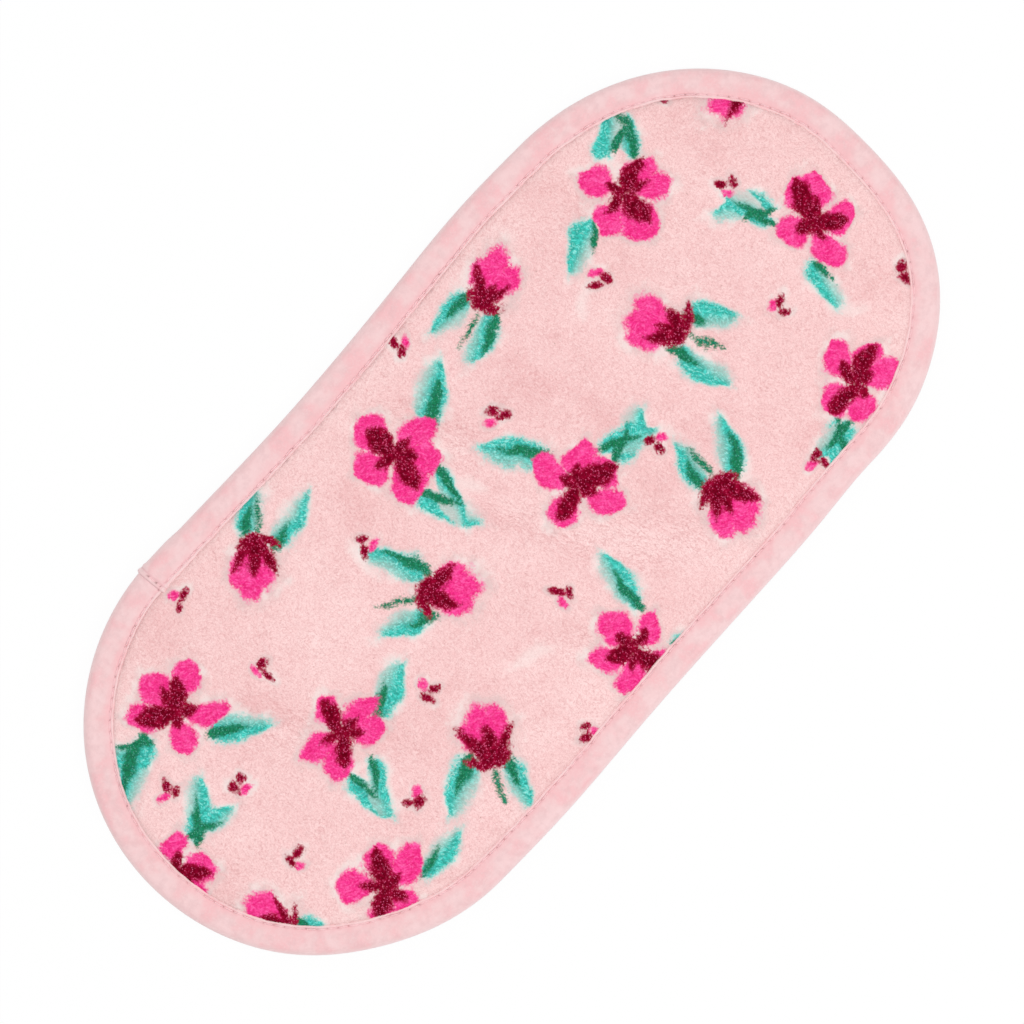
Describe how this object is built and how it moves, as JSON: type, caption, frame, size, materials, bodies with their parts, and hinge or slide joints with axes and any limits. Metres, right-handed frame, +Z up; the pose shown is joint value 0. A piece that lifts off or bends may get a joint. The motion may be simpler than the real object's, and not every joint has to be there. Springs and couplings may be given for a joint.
{
  "type": "eye patch",
  "caption": "Oblong soft eye pad with half-round ends: two plush panels over thin wadding, rim bound in folded and topstitched tape.",
  "frame": {"origin": "under the middle of the pad, on the surface that its back rests on", "axes": "+X along the pad, +Y across it towards the side where the binding's ends join, +Z up out of the printed face"},
  "size_m": [0.24, 0.1103, 0.0069],
  "materials": {
    "printed_plush": "short dense microfibre pile with a two-tone floral print",
    "plain_plush": "short dense microfibre pile, unprinted",
    "felted_wadding": "thin needle-felted polyester",
    "binding_tape": "smooth fine knitted tape, soft matte",
    "sewing_thread": "twisted polyester thread, slight lustre"
  },
  "bodies": {
    "root": {"front_plush": "printed_plush", "wadding": "felted_wadding", "back_plush": "plain_plush", "edge_binding": "binding_tape", "needle_thread": "sewing_thread", "bobbin_thread": "sewing_thread", "joint_stitching": "sewing_thread"}
  },
  "joints": []
}
